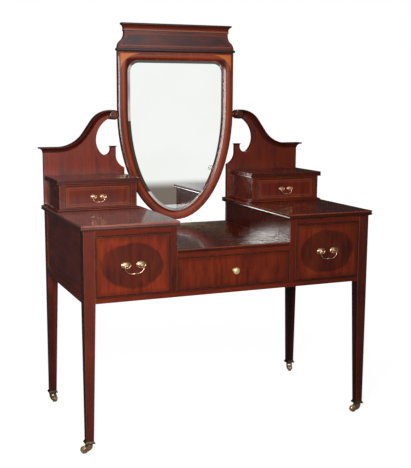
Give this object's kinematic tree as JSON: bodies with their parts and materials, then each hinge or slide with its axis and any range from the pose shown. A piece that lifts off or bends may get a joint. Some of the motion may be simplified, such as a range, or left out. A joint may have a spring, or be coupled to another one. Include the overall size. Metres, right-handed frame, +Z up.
{
  "type": "dressing table",
  "caption": "Mahogany dressing table with pedestal and kneehole drawers, jewel boxes on top and a swing mirror between scrolled brackets, on tapered legs with casters.",
  "frame": {"origin": "on the floor under the middle of the table's bounding box", "axes": "+X to the sitter's right, +Y towards the back, +Z up"},
  "size_m": [1.26, 0.675, 1.654],
  "materials": {
    "mahogany": "French-polished mahogany",
    "drawer_pine": "plain secondary wood",
    "brass": "aged polished brass",
    "caster_brass": "dull worn brass",
    "dark_brass": "dark patinated brass",
    "glass": "silvered bevelled plate"
  },
  "bodies": {
    "carcass": {"front_left_leg": "mahogany", "front_right_leg": "mahogany", "rear_left_leg": "mahogany", "rear_right_leg": "mahogany", "left_side_panel": "mahogany", "right_side_panel": "mahogany", "side_bottom_rails": "mahogany", "left_partition": "mahogany", "right_partition": "mahogany", "front_rails": "mahogany", "left_pedestal_top": "mahogany", "right_pedestal_top": "mahogany", "centre_top": "mahogany", "left_jewel_box_case": "mahogany", "right_jewel_box_case": "mahogany", "left_jewel_box_base_moulding": "mahogany", "right_jewel_box_base_moulding": "mahogany", "left_jewel_box_top": "mahogany", "right_jewel_box_top": "mahogany", "left_mirror_bracket": "mahogany", "right_mirror_bracket": "mahogany", "left_bracket_moulding": "mahogany", "right_bracket_moulding": "mahogany", "back_panel": "drawer_pine", "drawer_runners": "drawer_pine", "mirror_pivot_pins": "brass", "caster_cups": "dark_brass"},
    "swing_mirror": {"mirror_frame": "mahogany", "mirror_frieze": "mahogany", "mirror_cornice": "mahogany", "mirror_glass": "glass", "mirror_backboard": "drawer_pine"},
    "left_deep_drawer": {"left_deep_drawer_front": "mahogany", "left_deep_drawer_box": "drawer_pine", "left_deep_drawer_rosettes": "brass"},
    "left_deep_bail": {"left_deep_drawer_bail": "brass"},
    "left_jewel_drawer": {"left_jewel_drawer_front": "mahogany", "left_jewel_drawer_box": "drawer_pine", "left_jewel_drawer_rosettes": "brass"},
    "left_jewel_bail": {"left_jewel_drawer_bail": "brass"},
    "right_deep_drawer": {"right_deep_drawer_front": "mahogany", "right_deep_drawer_box": "drawer_pine", "right_deep_drawer_rosettes": "brass"},
    "right_deep_bail": {"right_deep_drawer_bail": "brass"},
    "right_jewel_drawer": {"right_jewel_drawer_front": "mahogany", "right_jewel_drawer_box": "drawer_pine", "right_jewel_drawer_rosettes": "brass"},
    "right_jewel_bail": {"right_jewel_drawer_bail": "brass"},
    "centre_drawer": {"centre_drawer_front": "mahogany", "centre_drawer_box": "drawer_pine", "centre_drawer_knob": "brass"},
    "front_left_fork": {"front_left_caster_fork": "caster_brass"},
    "front_left_wheel": {"front_left_caster_wheel": "caster_brass"},
    "front_right_fork": {"front_right_caster_fork": "caster_brass"},
    "front_right_wheel": {"front_right_caster_wheel": "caster_brass"},
    "rear_left_fork": {"rear_left_caster_fork": "caster_brass"},
    "rear_left_wheel": {"rear_left_caster_wheel": "caster_brass"},
    "rear_right_fork": {"rear_right_caster_fork": "caster_brass"},
    "rear_right_wheel": {"rear_right_caster_wheel": "caster_brass"}
  },
  "joints": [
    {"name": "mirror_tilt", "type": "hinge", "parent": "carcass", "child": "swing_mirror", "pos_m": [0, 0.3265, 1.26], "axis": [1, 0, 0], "range_deg": [-40, 40]},
    {"name": "left_deep_drawer_slide", "type": "slide", "parent": "carcass", "child": "left_deep_drawer", "axis": [0, -1, 0], "range_m": [0, 0.4]},
    {"name": "left_deep_bail_swing", "type": "hinge", "parent": "left_deep_drawer", "child": "left_deep_bail", "pos_m": [-0.4175, -0.3265, 0.718], "axis": [-1, 0, 0], "range_deg": [-15, 195]},
    {"name": "left_jewel_drawer_slide", "type": "slide", "parent": "carcass", "child": "left_jewel_drawer", "axis": [0, -1, 0], "range_m": [0, 0.14]},
    {"name": "left_jewel_bail_swing", "type": "hinge", "parent": "left_jewel_drawer", "child": "left_jewel_bail", "pos_m": [-0.436, 0.0795, 0.9325], "axis": [-1, 0, 0], "range_deg": [-15, 195]},
    {"name": "right_deep_drawer_slide", "type": "slide", "parent": "carcass", "child": "right_deep_drawer", "axis": [0, -1, 0], "range_m": [0, 0.4]},
    {"name": "right_deep_bail_swing", "type": "hinge", "parent": "right_deep_drawer", "child": "right_deep_bail", "pos_m": [0.4175, -0.3265, 0.718], "axis": [-1, 0, 0], "range_deg": [-15, 195]},
    {"name": "right_jewel_drawer_slide", "type": "slide", "parent": "carcass", "child": "right_jewel_drawer", "axis": [0, -1, 0], "range_m": [0, 0.14]},
    {"name": "right_jewel_bail_swing", "type": "hinge", "parent": "right_jewel_drawer", "child": "right_jewel_bail", "pos_m": [0.436, 0.0795, 0.9325], "axis": [-1, 0, 0], "range_deg": [-15, 195]},
    {"name": "centre_drawer_slide", "type": "slide", "parent": "carcass", "child": "centre_drawer", "axis": [0, -1, 0], "range_m": [0, 0.4]},
    {"name": "front_left_swivel", "type": "hinge", "parent": "carcass", "child": "front_left_fork", "pos_m": [-0.59525, -0.29875, 0.0387], "axis": [0, 0, 1], "continuous": true},
    {"name": "front_left_wheel_spin", "type": "hinge", "parent": "front_left_fork", "child": "front_left_wheel", "pos_m": [-0.61575, -0.29875, 0.014], "axis": [0, -1, 0], "continuous": true},
    {"name": "front_right_swivel", "type": "hinge", "parent": "carcass", "child": "front_right_fork", "pos_m": [0.59525, -0.29875, 0.0387], "axis": [0, 0, 1], "continuous": true},
    {"name": "front_right_wheel_spin", "type": "hinge", "parent": "front_right_fork", "child": "front_right_wheel", "pos_m": [0.57475, -0.29875, 0.014], "axis": [0, -1, 0], "continuous": true},
    {"name": "rear_left_swivel", "type": "hinge", "parent": "carcass", "child": "rear_left_fork", "pos_m": [-0.59525, 0.31175, 0.0387], "axis": [0, 0, 1], "continuous": true},
    {"name": "rear_left_wheel_spin", "type": "hinge", "parent": "rear_left_fork", "child": "rear_left_wheel", "pos_m": [-0.59169, 0.29156, 0.014], "axis": [0.9848, 0.1736, 0], "continuous": true},
    {"name": "rear_right_swivel", "type": "hinge", "parent": "carcass", "child": "rear_right_fork", "pos_m": [0.59525, 0.31175, 0.0387], "axis": [0, 0, 1], "continuous": true},
    {"name": "rear_right_wheel_spin", "type": "hinge", "parent": "rear_right_fork", "child": "rear_right_wheel", "pos_m": [0.58824, 0.29249, 0.014], "axis": [0.9397, -0.342, 0], "continuous": true}
  ]
}
